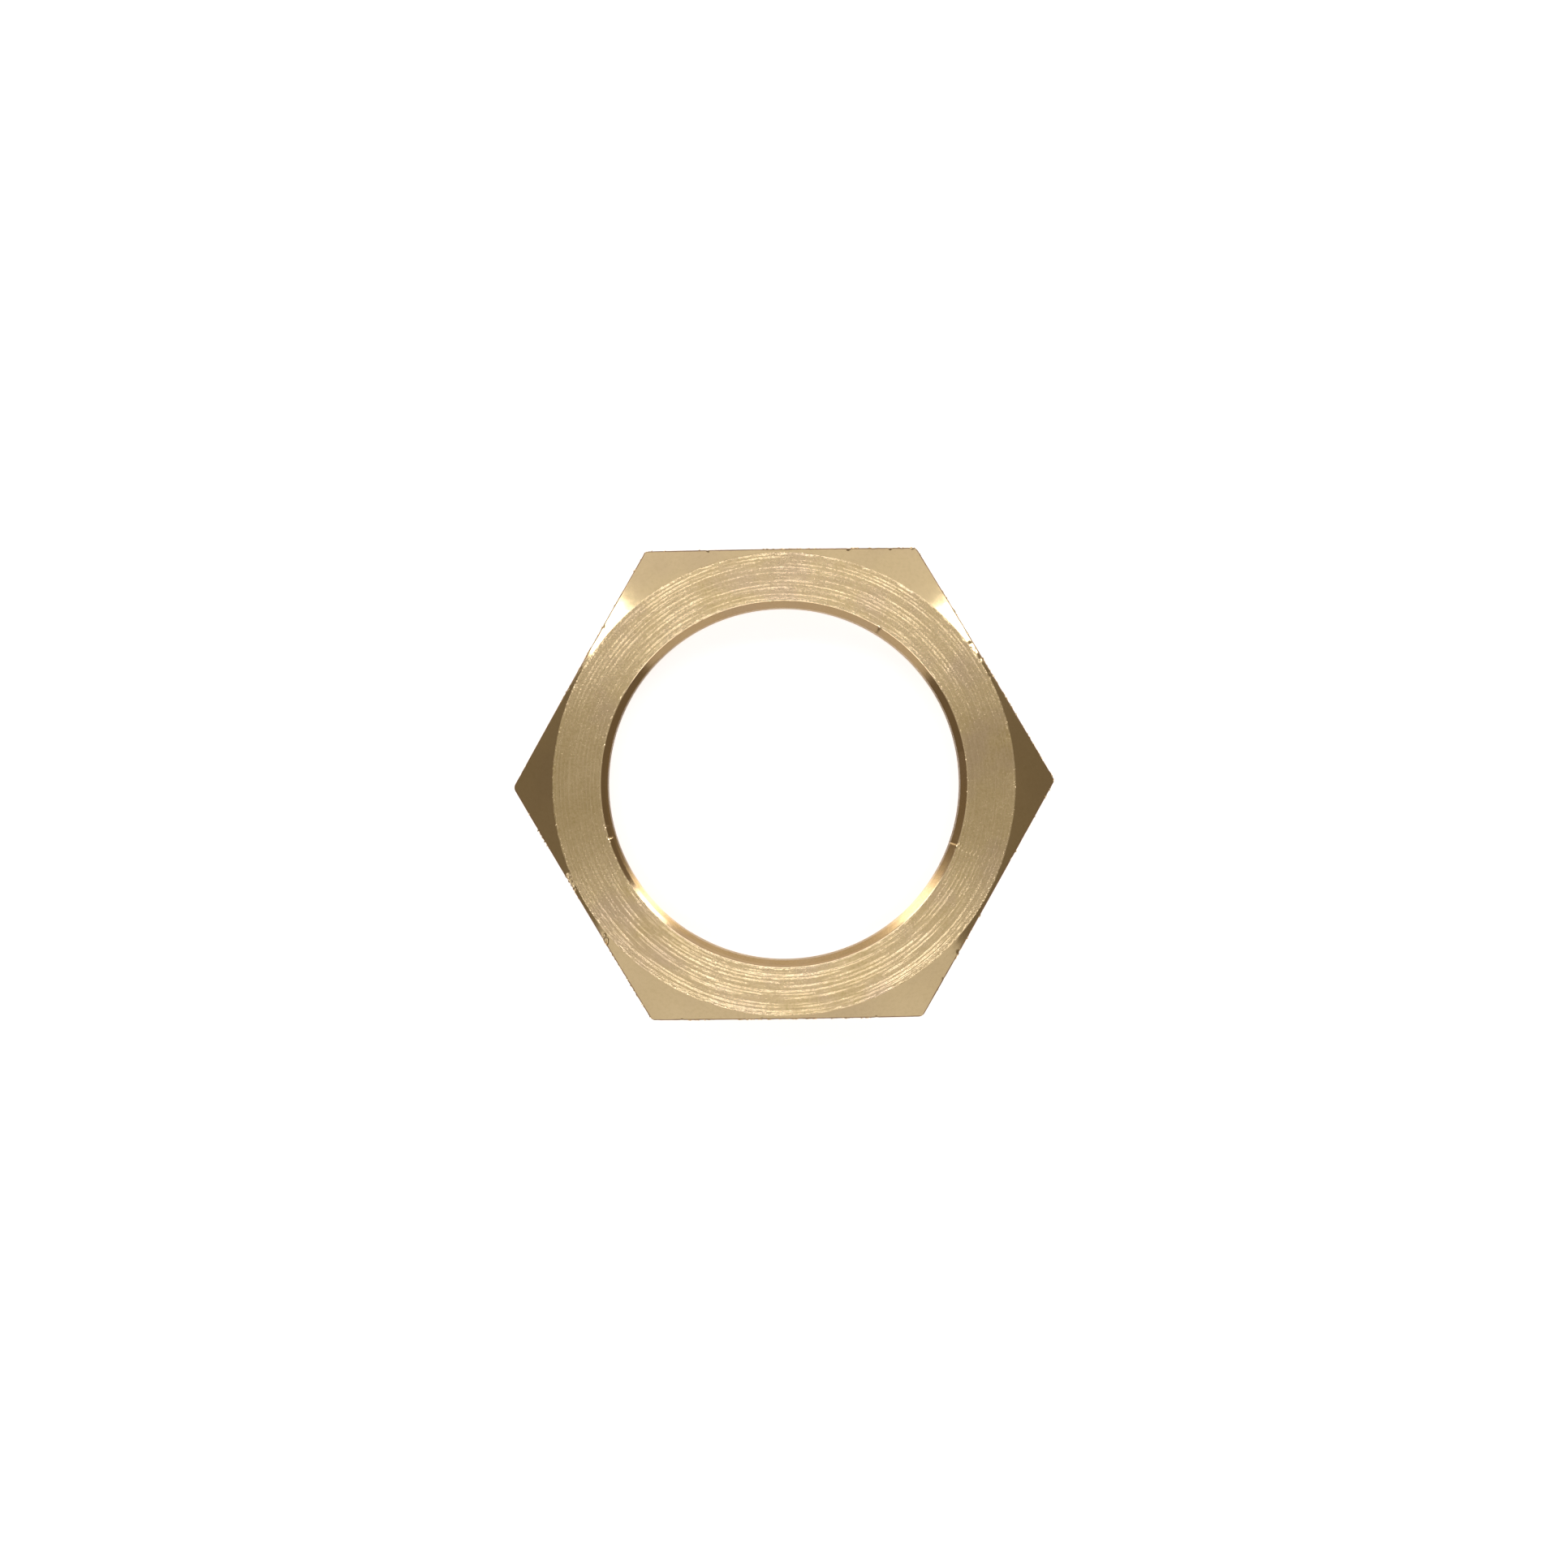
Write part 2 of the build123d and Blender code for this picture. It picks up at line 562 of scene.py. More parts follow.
def burr_tree(values, material):
    """Slivers of metal along both faces' edges: the mouth's, the turned face's and the rim's."""
    tree, given = new_tree("Edge burrs", values)
    parts = []
    for number, edge in enumerate(("mouth", "face", "rim")):

        def any_of(low, high, step):
            return chance(tree, low, high, given["Seed"] + float(number * 20 + step))

        rule = NutRule(given, any_of(0.0, 1.0, 0))
        radius, down = {
            "mouth": (rule.mouth, rule.edge_break),
            "face": (rule.face_edge, rule.edge_break),
            "rim": (rule.rim, rule.drop + rule.edge_break * 0.4),
        }[edge]
        is_upper = any_of(0.0, 1.0, 1) > 0.5
        height = choose(is_upper, rule.thickness - down, down)
        points = make_node(tree, "GeometryNodePoints", Count=given["Burrs"])
        plug(station(tree, rule, radius, height), points.inputs["Position"])
        outwards = any_of(-0.5, 0.5, 2)
        lift = any_of(-0.3, 0.3, 3)
        cosine, sine = rule.angle.cosine(), rule.angle.sine()
        lie = vector(tree, outwards * cosine - sine, outwards * sine + cosine, lift)
        turned = tree.nodes.new("FunctionNodeAlignRotationToVector")
        turned.axis = "Z"
        plug(lie, turned.inputs["Vector"])
        size = any_of(0.4, 1.0, 4)
        size = size * size
        thick = given["Burr Width"] * (size * 0.5 + 0.5) * any_of(0.4, 1.0, 5)
        long = given["Burr Length"] * size
        clumps = make_node(tree, "ShaderNodeTexNoise", Scale=CLUMP_SCALE, Detail=1.0)
        plug(station(tree, rule, radius, height), clumps.inputs["Vector"])
        sliver = make_node(tree, "GeometryNodeMeshIcoSphere", Radius=0.5, Subdivisions=1)
        placed = make_node(
            tree,
            "GeometryNodeInstanceOnPoints",
            Points=points.outputs[0],
            Selection=Field(tree, clumps.outputs["Fac"]) > CLUMP_FROM,
            Instance=sliver.outputs[0],
            Rotation=turned.outputs[0],
            Scale=vector(tree, thick, thick, long),
        )
        parts.append(placed.outputs[0])
    joined = join(tree, parts)
    slivers = make_node(tree, "GeometryNodeRealizeInstances", Geometry=joined).outputs[0]
    place = make_node(tree, "GeometryNodeInputPosition").outputs[0]
    shake = make_node(tree, "ShaderNodeTexNoise", Vector=place, Scale=SHAKE_SCALE, Detail=0.0)
    centred = tree.nodes.new("ShaderNodeVectorMath")
    centred.operation = "MULTIPLY_ADD"
    plug(shake.outputs["Color"], centred.inputs[0])
    plug((2 * SHAKE,) * 3, centred.inputs[1])
    plug((-SHAKE,) * 3, centred.inputs[2])
    bent = make_node(tree, "GeometryNodeSetPosition", Geometry=slivers, Offset=centred.outputs[0])
    last = make_node(tree, "GeometryNodeSetMaterial", Geometry=bent.outputs[0], Material=material)
    plug(last.outputs[0], tree.nodes.new("NodeGroupOutput").inputs[0])
    return tree


# Marks of other tools: azimuth in degrees, radius, depth below the upper face, half the length
# across the edge, half the width along it, depth, and how far each is turned in degrees. A mark
# with a depth below 0 is metal that a tool has pushed up.
TOOL_MARKS = (
    (201.9, 18.06 * MM, 0.20 * MM, 0.34 * MM, 0.12 * MM, -0.05 * MM, 50),
    (202.8, 18.04 * MM, 0.18 * MM, 0.45 * MM, 0.13 * MM, 0.13 * MM, 50),
    (203.3, 18.04 * MM, 0.18 * MM, 0.42 * MM, 0.14 * MM, -0.08 * MM, 50),
    (203.9, 18.00 * MM, 0.16 * MM, 0.45 * MM, 0.13 * MM, 0.13 * MM, 50),
    (204.4, 17.98 * MM, 0.14 * MM, 0.38 * MM, 0.14 * MM, -0.06 * MM, 45),
    (204.9, 17.96 * MM, 0.14 * MM, 0.40 * MM, 0.12 * MM, 0.11 * MM, 40),
    (206.4, 17.95 * MM, 0.14 * MM, 0.30 * MM, 0.11 * MM, 0.05 * MM, 40),
    (219.6, 18.15 * MM, 0.22 * MM, 0.35 * MM, 0.12 * MM, 0.10 * MM, 45),
    (220.1, 18.20 * MM, 0.24 * MM, 0.30 * MM, 0.12 * MM, -0.05 * MM, 45),
    (220.7, 18.22 * MM, 0.26 * MM, 0.35 * MM, 0.12 * MM, 0.11 * MM, 45),
    (58.0, 14.06 * MM, 0.02 * MM, 0.20 * MM, 0.25 * MM, 0.05 * MM, 0),
    (196.3, 14.06 * MM, 0.02 * MM, 0.20 * MM, 0.13 * MM, 0.05 * MM, 20),
    (192.5, 14.10 * MM, 0.02 * MM, 0.20 * MM, 0.13 * MM, 0.04 * MM, -20),
    (339.6, 14.20 * MM, 0.00 * MM, 0.50 * MM, 0.12 * MM, 0.05 * MM, -30),
)


def random_dents(sizes, burrs):
    """Small dents along the rims, and a bruised stretch beside one flat, as tool marks."""
    rng = np.random.default_rng(burrs.seed)
    half = sizes.across_flats / 2
    slope = tan(sizes.chamfer_angle)
    bruised_from, bruised_to = 8, 37  # degrees
    marks = []
    for _ in range(burrs.dents):
        azimuth = rng.uniform(0, 360)
        rim = half / cos(radians(azimuth % 60 - 30))
        down = (rim - half + sizes.face_margin) * slope
        if rng.random() < 0.5:
            down = sizes.thickness - down
        across = rng.uniform(0.1, 0.3) * MM
        wide = rng.uniform(0.1, 0.2) * MM
        depth = across * rng.uniform(0.08, 0.2)
        marks.append((azimuth, rim, down, across, wide, depth, rng.uniform(-40, 40)))
    for _ in range(burrs.bruises):
        azimuth = rng.uniform(bruised_from, bruised_to)
        rim = half / cos(radians(azimuth - FLAT_AZIMUTHS[0]))
        radius = rng.uniform(half - sizes.face_margin, rim)
        down = (radius - half + sizes.face_margin) * slope
        across = rng.uniform(0.12, 0.3) * MM
        wide = rng.uniform(0.1, 0.22) * MM
        depth = across * rng.uniform(-0.05, 0.08)
        marks.append((azimuth, radius, down, across, wide, depth, rng.uniform(-60, 60)))
    return marks


def dent(mesh, sizes, burrs):
    """Presses tool marks and small random dents into the mesh."""
    points = np.empty(len(mesh.vertices) * 3)
    mesh.vertices.foreach_get("co", points)
    points = points.reshape(-1, 3)
    between = (sizes.across_flats / 2 + sizes.crest_radius) / 2
    marks = (*TOOL_MARKS, *random_dents(sizes, burrs))
    for azimuth, radius, down, across, wide, depth, turned in marks:
        a, t = radians(azimuth), radians(turned)
        outwards = np.array((cos(a), sin(a), 0))
        sideways = np.array((-sin(a), cos(a), 0))
        upwards = np.array((0, 0, 1 if down < sizes.thickness / 2 else -1))
        away = points - (outwards * radius + np.array((0, 0, sizes.thickness - down)))
        out, side, up = away @ outwards, away @ sideways, away @ upwards
        long = np.hypot(out * cos(t) + side * sin(t), up) / across
        short = (side * cos(t) - out * sin(t)) / wide
        near = np.clip(1 - np.hypot(long, short), 0, 1)
        inwards = outwards * (-1 if radius > between else 1)
        points += (near ** 0.8)[:, None] * (inwards - 0.8 * upwards) * depth
    mesh.vertices.foreach_set("co", points.ravel())
    mesh.update()


# ---------------------------------------------------------------------------------------
# Finishes

# Red, green and blue of brass that isn't set in the panel
# painted shade for the chamfers' edge at the flats, in place of a dark reflection of the floor
RIM_SHADE_BRASS = (0.32, 0.20, 0.12)
# darker copies of the brass: painted shade for the thread and the countersinks inside the bore
SHADED_THREAD_CLEAN = (0.68, 0.47, 0.24)
SHADED_THREAD_DULL = (0.42, 0.27, 0.12)
SHADED_SINK_CLEAN = (0.70, 0.50, 0.28)
SHADED_SINK_DULL = (0.46, 0.30, 0.14)


def new_group(name, inputs, outputs):
    """A shader node group with named inputs and outputs, and its two end nodes."""
    group = bpy.data.node_groups.new(name, "ShaderNodeTree")
    for label, kind, default in inputs:
        socket = group.interface.new_socket(label, in_out="INPUT", socket_type=kind)
        socket.default_value = default
    for label, kind in outputs:
        group.interface.new_socket(label, in_out="OUTPUT", socket_type=kind)
    given = group.nodes.new("NodeGroupInput").outputs
    return group, given, group.nodes.new("NodeGroupOutput").inputs


def noise(tree, vector, scale, detail=2.0, roughness=0.5):
    """Noise between 0 and 1 as a field."""
    node = make_node(tree, "ShaderNodeTexNoise", Scale=scale, Detail=detail, Roughness=roughness)
    plug(vector, node.inputs["Vector"])
    return Field(tree, node.outputs["Fac"])


def ramp(value, low, high):
    """0 below low, 1 above high and a straight line between them."""
    return ((value - low) / (high - low)).most(0.0).least(1.0)


def object_place(tree):
    """The place on the object, and its X and Y as fields."""
    place = make_node(tree, "ShaderNodeTexCoord").outputs["Object"]
    split = make_node(tree, "ShaderNodeSeparateXYZ", Vector=place)
    return place, Field(tree, split.outputs["X"]), Field(tree, split.outputs["Y"])


def turning_lines_group():
    """Grooves that a tool leaves around the axis: a height, and a painted shading, painted
    highlight and shade that stand in for how the lights catch each groove.
    """
    group, given, out = new_group(
        "Turning lines",
        [
            ("Spacing", "NodeSocketFloat", 0.27 * MM),
            ("Breaks", "NodeSocketFloat", 2.0),
            ("Rough Side", "NodeSocketFloat", 0.0),
            ("Seed", "NodeSocketFloat", 0.0),
        ],
        [("Height", "NodeSocketFloat"), ("Painted Shading", "NodeSocketFloat")],
    )
    place, x, y = object_place(group)
    radius = (x * x + y * y).root()
    spacing = Field(group, given["Spacing"])
    breaks = Field(group, given["Breaks"])
    lines = radius / spacing
    seed = Field(group, given["Seed"])

    def around(times, outwards):
        """A place that changes with the radius quickly and around the axis slowly."""
        node = make_node(group, "ShaderNodeCombineXYZ")
        plug(x / radius * breaks * times, node.inputs["X"])
        plug(y / radius * breaks * times, node.inputs["Y"])
        plug(lines * outwards + seed, node.inputs["Z"])
        return node.outputs[0]

    wander = noise(group, around(0.15, 0.45), 1.0)
    wave = ((lines + wander * 2.2) * (2 * pi)).sine() * 0.5 + 0.5
    strength = ramp(noise(group, around(2.0, 1.0), 1.0, 2.0), 0.35, 0.6)
    torn = noise(group, around(13.0, 2.2), 1.0, 2.0, 0.6)
    grain = noise(group, place, 1.9 / spacing, 2.0, 0.6)
    bold_side = Field(group, given["Rough Side"])
    # the lines grow bolder towards this side, in the relief and in the painted shading
    side = ramp((x * bold_side.cosine() + y * bold_side.sine()) / radius, -0.4, 0.8)
    bold = wave * wave * strength * (side * 0.3 + 0.7)
    height = bold * 0.66 + torn * (side * 0.12 + 0.46) + grain * (0.65 - side * 0.2)
    plug(height, out["Height"])
    # painted highlight and shade of the grooves, which the colour takes up
    plug(ramp(torn * 0.4 + bold * 0.35 + grain * 0.7, 0.45, 0.9), out["Painted Shading"])
    return group


def lip_group():
    """The ragged lip that a tool leaves at an edge: 1 along a circle, 0 away from it."""
    group, given, out = new_group(
        "Ragged lip",
        [("Radius", "NodeSocketFloat", 17 * MM), ("Width", "NodeSocketFloat", 0.1 * MM)],
        [("Mask", "NodeSocketFloat")],
    )
    place, x, y = object_place(group)
    width = Field(group, given["Width"])
    sway = noise(group, place, 1600.0, 2.0, 0.6) - 0.5
    away = (x * x + y * y).root() + width * sway * 2.0 - Field(group, given["Radius"])
    near = (1.0 - away.maths("ABSOLUTE") / width).most(0.0)
    plug(near * ramp(noise(group, place, 1100.0, 3.0, 0.7), 0.36, 0.6), out["Mask"])
    return group


def shaded_rim_group():
    """Where the chamfers meet the flats, for a painted shade there: 1 along a hexagon, 0 away from
    it.
    """
    group, given, out = new_group(
        "Shaded rim",
        [("Half Width", "NodeSocketFloat", 18 * MM), ("Width", "NodeSocketFloat", 0.1 * MM)],
        [("Mask", "NodeSocketFloat")],
    )
    place, x, y = object_place(group)
    outward = [(cos(radians(azimuth)), sin(radians(azimuth))) for azimuth in FLAT_AZIMUTHS]
    reach = [(x * along + y * across).maths("ABSOLUTE") for along, across in outward]
    near = reach[0].most(reach[1]).most(reach[2]) - Field(group, given["Half Width"])
    width = Field(group, given["Width"]) * (noise(group, place, 900.0, 2.0) + 0.5)
    plug(ramp(near / width + 1.0, 0.0, 0.4), out["Mask"])
    return group


def blend(tree, share, first, second):
    """A colour that is the second one where the share is 1."""
    mix = tree.nodes.new("ShaderNodeMix")
    mix.data_type = "RGBA"
    colours = [socket for socket in mix.inputs if socket.type == "RGBA"]
    plug(share, mix.inputs["Factor"])
    plug(first, colours[0])
    plug(second, colours[1])
    return next(socket for socket in mix.outputs if socket.type == "RGBA")


def tarnish_group():
    """The colour of brass that has dulled here and there, and how dull it is."""
    group, given, out = new_group(
        "Tarnish",
        [
            ("Clean", "NodeSocketColor", (1, 1, 1, 1)),
            ("Dull", "NodeSocketColor", (1, 1, 1, 1)),
            ("Stain", "NodeSocketColor", (0.6, 0.45, 0.33, 1)),
            ("Scale", "NodeSocketFloat", 120.0),
            ("Amount", "NodeSocketFloat", 0.5),
            ("Wear", "NodeSocketFloat", 1.0),
        ],
        [("Colour", "NodeSocketColor"), ("Dullness", "NodeSocketFloat")],
    )
    place = make_node(group, "ShaderNodeTexCoord").outputs["Object"]
    scale = Field(group, given["Scale"])
    amount = Field(group, given["Amount"])
    clouds = noise(group, place, scale, 4.0, 0.6)
    grains = noise(group, place, scale * 40.0, 1.0)
    dullness = ramp(clouds, 0.35, 0.65) * 0.5 + ramp(grains, 0.45, 0.7) * 0.2
    # where the last input is low the brass is duller; on the turned face it carries painted
    # highlight and shade
    dullness = (dullness + (1.0 - Field(group, given["Wear"])) * 0.6) * amount
    patches = ramp(noise(group, place, scale * 1.7, 3.0), 0.48, 0.66)
    dulled = blend(group, dullness, given["Clean"], given["Dull"])
    plug(blend(group, patches * amount * 0.5, dulled, given["Stain"]), out["Colour"])
    plug(dullness, out["Dullness"])
    return group


def pits_group():
    """Small pits: 1 at the middle of one, falling smoothly to 0 at its edge."""
    group, given, out = new_group(
        "Pits",
        [
            ("Scale", "NodeSocketFloat", 900.0),
            ("Share", "NodeSocketFloat", 0.1),
            ("Size", "NodeSocketFloat", 0.3),
        ],
        [("Mask", "NodeSocketFloat")],
    )
    place = make_node(group, "ShaderNodeTexCoord").outputs["Object"]
    shake = make_node(group, "ShaderNodeTexNoise", Vector=place, Scale=6000.0, Detail=1.0)
    shaken = make_node(group, "ShaderNodeVectorMath")
    shaken.operation = "MULTIPLY_ADD"
    plug(shake.outputs["Color"], shaken.inputs[0])
    plug((0.12 * MM,) * 3, shaken.inputs[1])
    plug(place, shaken.inputs[2])
    cells = make_node(group, "ShaderNodeTexVoronoi", Vector=shaken.outputs[0])
    plug(given["Scale"], cells.inputs["Scale"])
    chance = make_node(group, "ShaderNodeSeparateXYZ", Vector=cells.outputs["Color"])
    chosen = Field(group, chance.outputs["X"]) < Field(group, given["Share"])
    near = (1.0 - Field(group, cells.outputs["Distance"]) / Field(group, given["Size"])).most(0.0)
    plug(near * near * (3.0 - near * 2) * chosen, out["Mask"])
    return group


def use(tree, group, **inputs):
    """One use of a node group, with its inputs set by name."""
    node = tree.nodes.new("ShaderNodeGroup")
    node.node_tree = group
    for name, value in inputs.items():
        plug(value, node.inputs[name.replace("_", " ")])
    return node.outputs


class Finish:
    """A metal material, whose colour, roughness and relief a function fills in."""

    def __init__(self, name):
        self.material = bpy.data.materials.new(name)
        self.material.use_nodes = True
        self.tree = self.material.node_tree
        self.shader = self.tree.nodes["Principled BSDF"]
        self.shader.inputs["Metallic"].default_value = 1.0

    def colour(self, value):
        plug(value, self.shader.inputs["Base Color"])

    def roughness(self, value):
        plug(value, self.shader.inputs["Roughness"])

    def relief(self, height, distance):
        bump = make_node(self.tree, "ShaderNodeBump", Height=height, Distance=distance)
        plug(bump.outputs[0], self.shader.inputs["Normal"])

    def turned(self, anisotropy):
        """Stretches the highlights across the grooves, as turned metal does."""
        self.shader.inputs["Anisotropic"].default_value = anisotropy
        self.shader.inputs["Anisotropic Rotation"].default_value = 0.25
        tangent = self.tree.nodes.new("ShaderNodeTangent")
        tangent.direction_type = "RADIAL"
        tangent.axis = "Z"
        plug(tangent.outputs[0], self.shader.inputs["Tangent"])


def shared(make, name):
    """The node group of this name, which is made at its first use."""
    return bpy.data.node_groups.get(name) or make()


def tarnished(tree, clean, dull, **inputs):
    """The colour and the dullness of tarnished brass."""
    group = shared(tarnish_group, "Tarnish")
    metal = use(tree, group, Clean=(*clean, 1), Dull=(*dull, 1), **inputs)
    return metal["Colour"], Field(tree, metal["Dullness"])


def turning_lines(tree, **inputs):
    """The height of turning lines, and their painted shading: painted highlight and shade of the
    grooves.
    """
    cut = use(tree, shared(turning_lines_group, "Turning lines"), **inputs)
    return Field(tree, cut["Height"]), Field(tree, cut["Painted Shading"])


def mask(tree, make, name, **inputs):
    """The mask that a shared node group gives, as a field."""
    return Field(tree, use(tree, shared(make, name), **inputs)["Mask"])


def turned_face_brass(sizes, colours):
    """Turned metal: grooves around the axis with a painted shading, a few pits, and a ragged lip at
    both edges that also gets a painted highlight.
    """
    turned = Finish("turned_face_brass")
    tree = turned.tree
    height, painted_shading = turning_lines(tree, Spacing=0.31 * MM, Breaks=1.6, Rough_Side=radians(262))
    pit = mask(tree, pits_group, "Pits", Scale=900.0, Share=0.035, Size=0.12)
    face_edge = sizes.across_flats / 2 - sizes.face_margin
    mouth = sizes.thread_major / 2 + sizes.mouth_margin
    outer = mask(tree, lip_group, "Ragged lip", Radius=face_edge - 0.07 * MM, Width=0.09 * MM)
    inner = mask(tree, lip_group, "Ragged lip", Radius=mouth + 0.06 * MM, Width=0.1 * MM)
    lips = outer.most(inner)
    # how clean the colour is: the grooves' painted highlight and shade, darker pits, and a painted
    # highlight along the lips
    clean_share = painted_shading - pit * 1.2 + lips * 0.8
    colour, dullness = tarnished(
        tree, colours.clean, colours.dull, Scale=140.0, Amount=0.75, Wear=clean_share
    )
    turned.colour(colour)
    turned.roughness(dullness * 0.12 + 0.22)
    turned.relief(height - pit * 0.7 + lips * 0.7, 0.032 * MM)
    turned.turned(0.7)
    return turned.material


def formed_chamfer_brass(sizes, colours):
    """Smooth, gently wavy metal with a few stains, and a painted shade on the edge beside the
    flats, which stands in for the dark reflection of the shaded floor there.
    """
    formed = Finish("formed_chamfer_brass")
    tree = formed.tree
    height, _ = turning_lines(tree, Spacing=0.12 * MM, Breaks=0.5, Seed=40.0)
    stain = mask(tree, pits_group, "Pits", Scale=420.0, Share=0.1, Size=0.22)
    edge_band = mask(
        tree, shaded_rim_group, "Shaded rim", Half_Width=sizes.across_flats / 2, Width=0.09 * MM
    )
    colour, dullness = tarnished(
        tree, colours.clean, colours.dull, Scale=90.0, Amount=0.4, Wear=1.0 - stain * 1.2
    )
    place, _, _ = object_place(tree)
    waves = noise(tree, place, 500.0, 2.0, 0.4)
    # painted shade along the edge at the flats: the dark reflection of the shaded floor, painted
    # into the colour
    formed.colour(blend(tree, edge_band, colour, (*RIM_SHADE_BRASS, 1)))
    formed.roughness(dullness * 0.12 + 0.1 + edge_band * 0.35)
    formed.relief(waves + height * 0.05, 0.02 * MM)
    return formed.material


def drawn_flat_brass(colours):
    """Drawn metal: fine streaks along the bar."""
    drawn = Finish("drawn_flat_brass")
    tree = drawn.tree
    place, _, _ = object_place(tree)
    stretched = make_node(tree, "ShaderNodeMapping", Vector=place, Scale=(1.0, 1.0, 0.02))
    streaks = noise(tree, stretched.outputs[0], 6000.0, 3.0, 0.6)
    clean_share = ramp(streaks, 0.3, 0.6)
    colour, dullness = tarnished(
        tree, colours.clean, colours.dull, Scale=100.0, Amount=0.7, Wear=clean_share
    )
    drawn.colour(colour)
    drawn.roughness(dullness * 0.15 + 0.22)
    drawn.relief(streaks, 0.007 * MM)
    return drawn.material


def tapped_thread_brass():
    """Cut metal with the fine marks of a tap, in darker, redder brass that paints the shade inside
    the bore.
    """
    tapped = Finish("tapped_thread_brass")
    tree = tapped.tree
    height, _ = turning_lines(tree, Spacing=0.05 * MM, Breaks=3.0, Seed=80.0)
    colour, dullness = tarnished(tree, SHADED_THREAD_CLEAN, SHADED_THREAD_DULL, Scale=150.0, Amount=0.6)
    tapped.colour(colour)
    tapped.roughness(dullness * 0.15 + 0.2)
    tapped.relief(height, 0.001 * MM)
    return tapped.material


def cut_countersink_brass():
    """Smooth cut metal with the fine marks of a countersink, in darker brass that paints the shade
    at the bore's mouth.
    """
    sunk = Finish("cut_countersink_brass")
    tree = sunk.tree
    height, _ = turning_lines(tree, Spacing=0.07 * MM, Breaks=1.0, Seed=120.0)
    colour, dullness = tarnished(tree, SHADED_SINK_CLEAN, SHADED_SINK_DULL, Scale=160.0, Amount=0.5)
    sunk.colour(colour)
    sunk.roughness(dullness * 0.12 + 0.09)
    sunk.relief(height, 0.0015 * MM)
    return sunk.material


def burr_brass(colours):
    """Bright torn metal."""
    torn = Finish("burr_brass")
    tree = torn.tree
    colour, dullness = tarnished(tree, colours.clean, colours.dull, Scale=900.0)
    torn.colour(colour)
    torn.roughness(dullness * 0.2 + 0.15)
    return torn.material


def brass_finishes(sizes, colours):
    """The five finishes of the nut, by their number."""
    return {
        FACE: turned_face_brass(sizes, colours),
        CHAMFER: formed_chamfer_brass(sizes, colours),
        FLAT: drawn_flat_brass(colours),
        THREAD: tapped_thread_brass(),
        SINK: cut_countersink_brass(),
    }


# ---------------------------------------------------------------------------------------
# Operators


class MESH_OT_hex_nut_body(bpy.types.Operator):
    """Build the nut from its rule and give it its finishes"""

    bl_idname = "mesh.hex_nut_body"
    bl_label = "Nut Body"

    def execute(self, context):
        scene = context.scene
        sizes = scene.nut_sizes
        values = {**nut_values(sizes), "Columns": sizes.columns}
        body = build("hex_nut_body", nut_tree(values, brass_finishes(sizes, scene.brass_colours)))
        body.data.attributes.remove(body.data.attributes["finish"])
        dent(body.data, sizes, scene.burr_sizes)
        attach(body, BODY)
        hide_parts(NODE)
        return {"FINISHED"}


class MESH_OT_edge_burrs(bpy.types.Operator):
    """Set slivers of metal along the nut's edges"""

    bl_idname = "mesh.edge_burrs"
    bl_label = "Edge Burrs"

    def execute(self, context):
        scene = context.scene
        burrs = scene.burr_sizes
        values = {
            **nut_values(scene.nut_sizes),
            "Burrs": burrs.count,
            "Burr Length": burrs.length,
            "Burr Width": burrs.width,
            "Seed": burrs.seed,
        }
        slivers = build("edge_burrs", burr_tree(values, burr_brass(scene.brass_colours)))
        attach(slivers, BODY)
        return {"FINISHED"}


class OBJECT_OT_hex_nut_stage(bpy.types.Operator):
    """Lay the pale floor and set the soft lights and the camera"""

    bl_idname = "object.hex_nut_stage"
    bl_label = "Stage"

    def execute(self, context):
        studio = context.scene.studio
        floor()
        lights()
        camera(studio)
        return {"FINISHED"}


# ---------------------------------------------------------------------------------------
# Studio

FLOOR_HALF = 3.0
FLOOR_GREY = (0.74, 0.74, 0.74, 1)
FLOOR_GLOW = 0.62  # the floor's own light, which keeps it pale all over
WHITE = (1.0, 1.0, 1.0)
COOL = (1.0, 1.0, 1.13)
ROOM = (1.0, 0.83, 0.61, 1)
ROOM_STRENGTH = 0.19
LIGHT_DISTANCE = 0.9
WATTS = 4.0  # for a square metre of an area light that looks as bright as 1


def floor():
    mesh = bpy.data.meshes.new("floor")
    half = FLOOR_HALF
    corners = [(-half, -half, 0), (half, -half, 0), (half, half, 0), (-half, half, 0)]
    mesh.from_pydata(corners, [], [(0, 1, 2, 3)])
    material = bpy.data.materials.new("pale_floor")
    material.use_nodes = True
    shader = material.node_tree.nodes["Principled BSDF"]
    shader.inputs["Base Color"].default_value = FLOOR_GREY
    shader.inputs["Roughness"].default_value = 0.8
    shader.inputs["Emission Color"].default_value = (1, 1, 1, 1)
    shader.inputs["Emission Strength"].default_value = FLOOR_GLOW
    mesh.materials.append(material)
    piece = bpy.data.objects.new("floor", mesh)
    bpy.context.scene.collection.objects.link(piece)


def softbox(name, azimuth, elevation, distance, width, height, radiance, colour=WHITE):
    """A rectangular light that faces the nut and is this bright to look at."""
    light = bpy.data.lights.new(name, "AREA")
    light.shape = "RECTANGLE"
    light.size = width
    light.size_y = height
    light.energy = radiance * WATTS * width * height
    light.color = colour
    lamp = bpy.data.objects.new(name, light)
    a, e = radians(azimuth), radians(elevation)
    lamp.location = Vector((cos(a) * cos(e), sin(a) * cos(e), sin(e))) * distance
    lamp.rotation_euler = lamp.location.to_track_quat("Z", "Y").to_euler()
    lamp.visible_camera = False
    bpy.context.scene.collection.objects.link(lamp)


def card(name, start, end, elevation, height, radiance, colour=WHITE):
    """A light that stands between two azimuths and faces the nut."""
    width = 2 * LIGHT_DISTANCE * cos(radians(elevation)) * tan(radians(end - start) / 2)
    softbox(name, (start + end) / 2, elevation, LIGHT_DISTANCE, width, height, radiance, colour)


